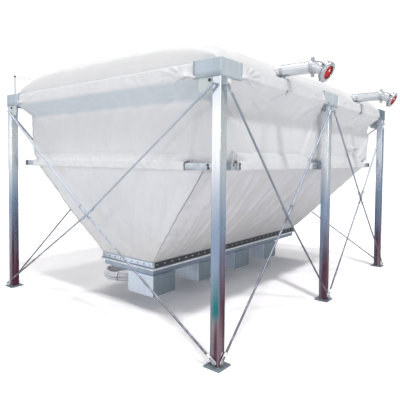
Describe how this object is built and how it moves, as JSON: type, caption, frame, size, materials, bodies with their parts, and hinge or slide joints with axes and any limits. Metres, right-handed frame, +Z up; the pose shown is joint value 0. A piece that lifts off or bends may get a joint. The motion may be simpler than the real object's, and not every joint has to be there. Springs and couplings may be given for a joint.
{
  "type": "fabric grain silo",
  "caption": "Fabric trough silo: an off-white fabric bag with a long hopper and outlet boxes, hung in a cross-braced galvanised steel frame with capped fill pipes.",
  "frame": {"origin": "on the floor, below the centre of the whole box, which the fill pipes stretch towards the front", "axes": "+X along the long side, +Y from the side with the fill pipes to the back, +Z up"},
  "size_m": [4.3854, 4.0125, 2.8752],
  "materials": {
    "galvanised_steel": "hot-dip galvanised, cool grey with soft spangle and light streaks",
    "sheet_steel": "galvanised sheet steel, blue-grey, in the shade of the bag",
    "aluminium": "plain cast and drawn aluminium, satin",
    "bag_fabric": "off-white woven technical fabric with folds, seams and soft wrinkles",
    "red_cap": "moulded red dust cap, slightly faded",
    "clear_hose": "whitish clear flexible hose",
    "cord": "thin grey cord, pulled tight"
  },
  "bodies": {
    "root": {"brace_back_left_falling": "galvanised_steel", "brace_back_left_rising": "galvanised_steel", "brace_back_right_falling": "galvanised_steel", "brace_back_right_rising": "galvanised_steel", "brace_front_left_falling": "galvanised_steel", "brace_front_left_rising": "galvanised_steel", "brace_front_right_falling": "galvanised_steel", "brace_front_right_rising": "galvanised_steel", "brace_left_falling": "galvanised_steel", "brace_left_rising": "galvanised_steel", "brace_right_falling": "galvanised_steel", "brace_right_rising": "galvanised_steel", "corner_cord": "cord", "corner_rod": "galvanised_steel", "coupling_left": "aluminium", "coupling_right": "aluminium", "dust_cap_left": "red_cap", "dust_cap_right": "red_cap", "fill_pipe_left": "aluminium", "fill_pipe_right": "aluminium", "hopper_back": "bag_fabric", "hopper_front": "bag_fabric", "hopper_left": "bag_fabric", "hopper_right": "bag_fabric", "hose_coil": "clear_hose", "hose_end": "clear_hose", "hose_fitting": "aluminium", "hose_tail": "clear_hose", "outlet_box_1": "sheet_steel", "outlet_box_2": "sheet_steel", "outlet_box_3": "sheet_steel", "outlet_box_4": "sheet_steel", "post_back_left": "galvanised_steel", "post_back_middle": "galvanised_steel", "post_back_right": "galvanised_steel", "post_front_left": "galvanised_steel", "post_front_middle": "galvanised_steel", "post_front_right": "galvanised_steel", "rail_back": "galvanised_steel", "rail_front": "galvanised_steel", "rail_left": "galvanised_steel", "rail_right": "galvanised_steel", "ring_tube_back": "galvanised_steel", "ring_tube_front": "galvanised_steel", "ring_tube_left": "galvanised_steel", "ring_tube_right": "galvanised_steel", "roof": "bag_fabric", "trough": "sheet_steel", "wall_back": "bag_fabric", "wall_front": "bag_fabric", "wall_left": "bag_fabric", "wall_right": "bag_fabric"}
  },
  "joints": []
}
